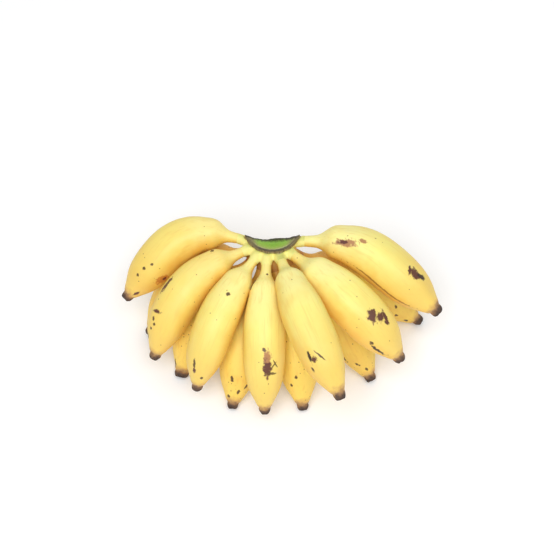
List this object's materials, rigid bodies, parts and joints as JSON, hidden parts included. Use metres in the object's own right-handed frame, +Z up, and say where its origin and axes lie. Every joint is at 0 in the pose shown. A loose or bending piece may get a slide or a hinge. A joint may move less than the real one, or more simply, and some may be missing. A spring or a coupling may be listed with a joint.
{
  "type": "hand of small bananas",
  "caption": "Ripe hand of small dessert bananas in two rows on one cut crown, resting on the tips of its lower row.",
  "frame": {"origin": "on the surface the hand rests on, under the middle of its bounding box", "axes": "+Z up, +X along the width of the hand, the fingers fan out towards -Y and the crown is on the +Y side"},
  "size_m": [0.2334, 0.145, 0.0965],
  "materials": {
    "crown_cut_tissue": "green cut plant tissue with a pale rim and a band of dry grey-brown bark",
    "ripe_skin": "smooth waxy pale yellow banana skin with brown bruises and dried brown tips",
    "golden_skin": "smooth waxy golden yellow banana skin with small specks and dried brown tips"
  },
  "bodies": {
    "root": {"crown": "crown_cut_tissue", "finger_upper_1": "ripe_skin", "finger_upper_2": "ripe_skin", "finger_upper_3": "ripe_skin", "finger_upper_4": "ripe_skin", "finger_upper_5": "ripe_skin", "finger_upper_6": "ripe_skin", "finger_upper_7": "ripe_skin", "finger_lower_1": "golden_skin", "finger_lower_2": "golden_skin", "finger_lower_3": "golden_skin", "finger_lower_4": "golden_skin", "finger_lower_5": "golden_skin", "finger_lower_6": "golden_skin"}
  },
  "joints": []
}
